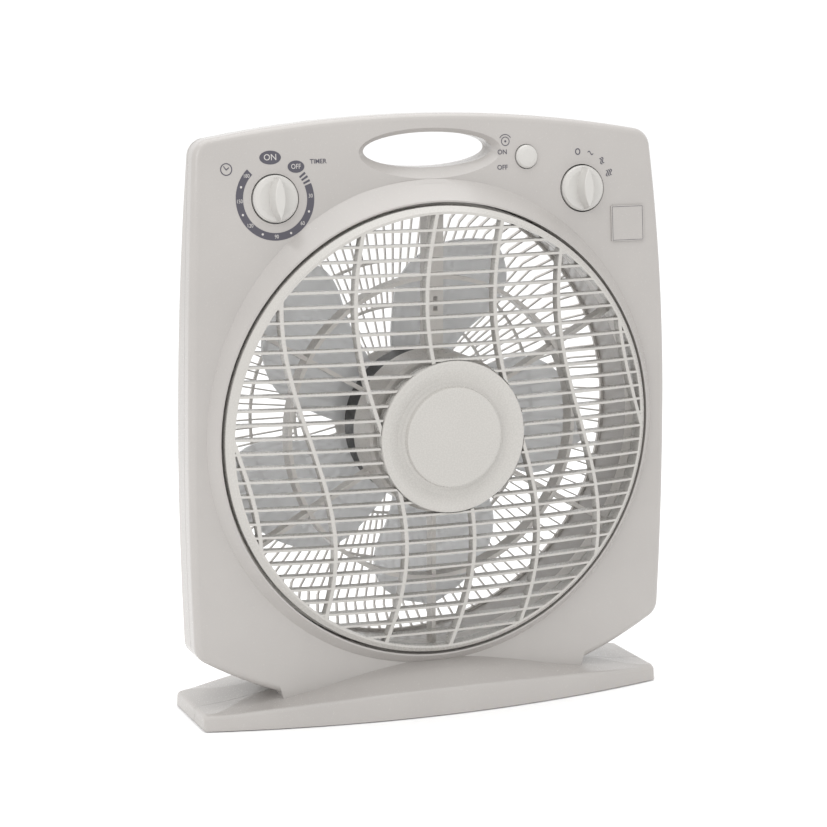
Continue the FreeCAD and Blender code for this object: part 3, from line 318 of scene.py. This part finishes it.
def lettering(name, words, across, up, tall, material="print", turn=0.0, wide=1.0, weight=0.0,
              lift=INK, thick=FILM):
    """Generic control wording, drawn in the built-in font and laid on the face."""
    curve = bpy.data.curves.new(name, "FONT")
    curve.body = words
    curve.align_x = "CENTER"
    curve.align_y = "CENTER"
    curve.size = tall / CAPITAL_SHARE
    curve.offset = weight
    curve.resolution_u = 4
    curve.extrude = thick / 2
    source = bpy.data.objects.new(name + "_source", curve)
    mesh = bpy.data.meshes.new_from_object(source)
    bpy.data.objects.remove(source)
    tilt = math.radians(turn)
    vertices = []
    for vertex in mesh.vertices:
        x, y = vertex.co.x * wide, vertex.co.y
        place_across = across + x * math.cos(tilt) + y * math.sin(tilt)
        place_up = up - x * math.sin(tilt) + y * math.cos(tilt)
        vertices.append(on_face(place_across, place_up, lift + thick / 2 + vertex.co.z))
    faces = [list(polygon.vertices) for polygon in mesh.polygons]
    return add_mesh(name, vertices, faces, material)


timer = (TIMER.x, TIMER.z)
SCALE_INNER = 0.0232
SCALE_OUTER = 0.0284
SCALE_MIDDLE = 0.0258
ON_TOP = INK * 2


def on_scale(angle):
    """A place in the middle of the timer's scale, at an angle clockwise from the top in degrees."""
    spot = math.radians(angle)
    return timer[0] + SCALE_MIDDLE * math.sin(spot), timer[1] + SCALE_MIDDLE * math.cos(spot)


band_quads("timer_scale", timer, SCALE_INNER, SCALE_OUTER, 69.0, 317.0)
ticks = []
for angle in (52.4, 58.3, 64.6):
    ticks.append((arc_band(timer, SCALE_INNER, SCALE_OUTER, angle - 1.6, angle + 1.6, 3), None))
printed("timer_ticks", ticks)
dots = []
for angle in (111.0, 156.0, 203.0, 247.0, 290.0):
    dots.append((ellipse(*on_scale(angle), 0.0008, 0.0008, 16), None))
printed("timer_dots", dots, "print_light", lift=ON_TOP)
MINUTES = (("30", 87.0), ("60", 132.0), ("90", 180.0), ("120", 227.0), ("150", 268.0), ("180", 309.0))
for label, angle in MINUTES:
    lettering("timer_" + label, label, *on_scale(angle), 0.0026, "print_light", lift=ON_TOP, wide=0.85)
printed("timer_on_field", [(ellipse(TIMER.x - 0.0023, TIMER.z + 0.0283, 0.0078, 0.0047), None)])
lettering("timer_on_word", "ON", TIMER.x - 0.0023, TIMER.z + 0.0283, 0.0042, "print_light", lift=ON_TOP)
printed("timer_off_field", [(ellipse(TIMER.x + 0.0161, TIMER.z + 0.0216, 0.0061, 0.0042), None)])
lettering("timer_off_word", "OFF", TIMER.x + 0.0161, TIMER.z + 0.0216, 0.0034, "print_light", lift=ON_TOP,
          wide=0.85)
lettering("timer_word", "TIMER", TIMER.x + 0.0325, TIMER.z + 0.0247, 0.0031, weight=0.00008)

clock = (TIMER.x - 0.0342, TIMER.z + 0.0211)
printed("clock_mark", [
    (ellipse(*clock, 0.0043, 0.0043), ellipse(*clock, 0.0036, 0.0036)),
    ([(clock[0] - 0.0003, clock[1] - 0.0006), (clock[0] + 0.0003, clock[1] - 0.0006),
      (clock[0] + 0.0022, clock[1] + 0.0010), (clock[0] + 0.0018, clock[1] + 0.0015),
      (clock[0], clock[1] + 0.0002), (clock[0] - 0.0016, clock[1] + 0.0024),
      (clock[0] - 0.0021, clock[1] + 0.0020)], None),
])

BADGE = centre_of("name_badge")


def square(half):
    """Corners of a level square on the badge, the same count for each size."""
    corners = [(-half, -half), (half, -half), (half, half), (-half, half)]
    return [(BADGE.x + across, BADGE.z + up) for across, up in corners]


BADGE_HEIGHT = 0.00115  # just in front of the badge, which stands 1 mm proud of the face
printed("badge_outline", [(square(0.0122), square(0.01195))], lift=BADGE_HEIGHT)
lettering("louvre_on_word", "ON", BUTTON.x - 0.0186, BUTTON.z + 0.0040, 0.0033, weight=0.00008)
lettering("louvre_off_word", "OFF", BUTTON.x - 0.0189, BUTTON.z - 0.0068, 0.0033, weight=0.00008)
swirl = (BUTTON.x - 0.0159, BUTTON.z + 0.0116)
printed("louvre_mark", [
    (ellipse(*swirl, 0.0033, 0.0033), ellipse(*swirl, 0.0027, 0.0027)),
    (arc_band(swirl, 0.0045, 0.0051, -60.0, 60.0, 16), None),
    (ellipse(*swirl, 0.0008, 0.0008, 12), None),
])

zero = (SPEED.x - 0.0025, SPEED.z + 0.0262)
printed("speed_off_mark", [(ellipse(*zero, 0.0021, 0.0024), ellipse(*zero, 0.0013, 0.0016))])


def wave(centre, angle, width=0.0046, height=0.0009, thick=0.0009):
    """One wavy stroke, across the direction out from the knob."""
    turn = math.radians(angle)
    along = (math.cos(turn), -math.sin(turn))
    outward = (math.sin(turn), math.cos(turn))
    top, low = [], []
    for step in range(13):
        share = step / 12.0
        run = (share - 0.5) * width
        rise = height * math.sin(2.0 * math.pi * share)
        for row, offset in ((top, thick / 2), (low, -thick / 2)):
            lift = rise + offset
            row.append((centre[0] + run * along[0] + lift * outward[0],
                        centre[1] + run * along[1] + lift * outward[1]))
    return top + low[::-1], None


waves = []
WAVE_STEP = 0.0016
SPEEDS = ((0.0076, 0.0250, 14.0, 1), (0.0165, 0.0192, 60.0, 2), (0.0218, 0.0105, 75.0, 3))
for across, up, angle, count in SPEEDS:
    for index in range(count):
        shift = (index - 0.5 * (count - 1)) * WAVE_STEP
        turn = math.radians(angle)
        spot = (SPEED.x + across + shift * math.sin(turn), SPEED.z + up + shift * math.cos(turn))
        waves.append(wave(spot, angle))
printed("speed_marks", waves)


# ---------------------------------------------------------------- floor, light and camera

def stage_floor():
    material, tree, principled = shader("floor_paper")
    cloud = noise(tree, 3.0, 2.0, 0.5)
    paper = tinted(tree, cloud, (0.94, 0.94, 0.94), (0.96, 0.96, 0.96))
    tree.links.new(paper, principled.inputs["Base Color"])
    principled.inputs["Roughness"].default_value = 0.9
    principled.inputs["Specular IOR Level"].default_value = 0.1
    mesh = bpy.data.meshes.new("studio_floor")
    reach = 12.0
    corners = [(-reach, -reach, 0), (reach, -reach, 0), (reach, reach, 0), (-reach, reach, 0)]
    mesh.from_pydata(corners, [], [(0, 1, 2, 3)])
    mesh.materials.append(material)
    floor = bpy.data.objects.new("studio_floor", mesh)
    scene.collection.objects.link(floor)


def softbox(name, place, aim, wide, tall, power):
    light = bpy.data.lights.new(name, "AREA")
    light.shape = "RECTANGLE"
    light.size = wide
    light.size_y = tall
    light.energy = power
    item = bpy.data.objects.new(name, light)
    item.location = place
    item.rotation_euler = (Vector(aim) - Vector(place)).to_track_quat("-Z", "Y").to_euler()
    scene.collection.objects.link(item)
    return item


stage_floor()
world = bpy.data.worlds.new("studio")
scene.world = world
world.use_nodes = True
world.node_tree.nodes["Background"].inputs["Color"].default_value = (1.0, 1.0, 1.0, 1.0)
world.node_tree.nodes["Background"].inputs["Strength"].default_value = 1.1

MIDDLE = (0.0, 0.0, 0.21)
softbox("overhead", (0.0, 0.1, 2.2), MIDDLE, 2.4, 2.0, 24.0)
softbox("key_left", (-1.8, -1.6, 1.5), MIDDLE, 1.4, 1.4, 12.0)

scene.view_settings.view_transform = "Standard"
scene.view_settings.look = "None"

camera_data = bpy.data.cameras.new("camera")
camera_data.sensor_width = 36.0
camera_data.lens = 106.9
camera = bpy.data.objects.new("camera", camera_data)
scene.collection.objects.link(camera)
AZIMUTH = math.radians(-21.74)
ELEVATION = math.radians(10.21)
DISTANCE = 1.7345
AIM = Vector((-0.02105, -0.043, 0.21788))
OUT = Vector((math.sin(AZIMUTH) * math.cos(ELEVATION), -math.cos(AZIMUTH) * math.cos(ELEVATION),
              math.sin(ELEVATION)))
camera.location = AIM + DISTANCE * OUT
camera.rotation_mode = "QUATERNION"
camera.rotation_quaternion = (-OUT).to_track_quat("-Z", "Y")
scene.camera = camera
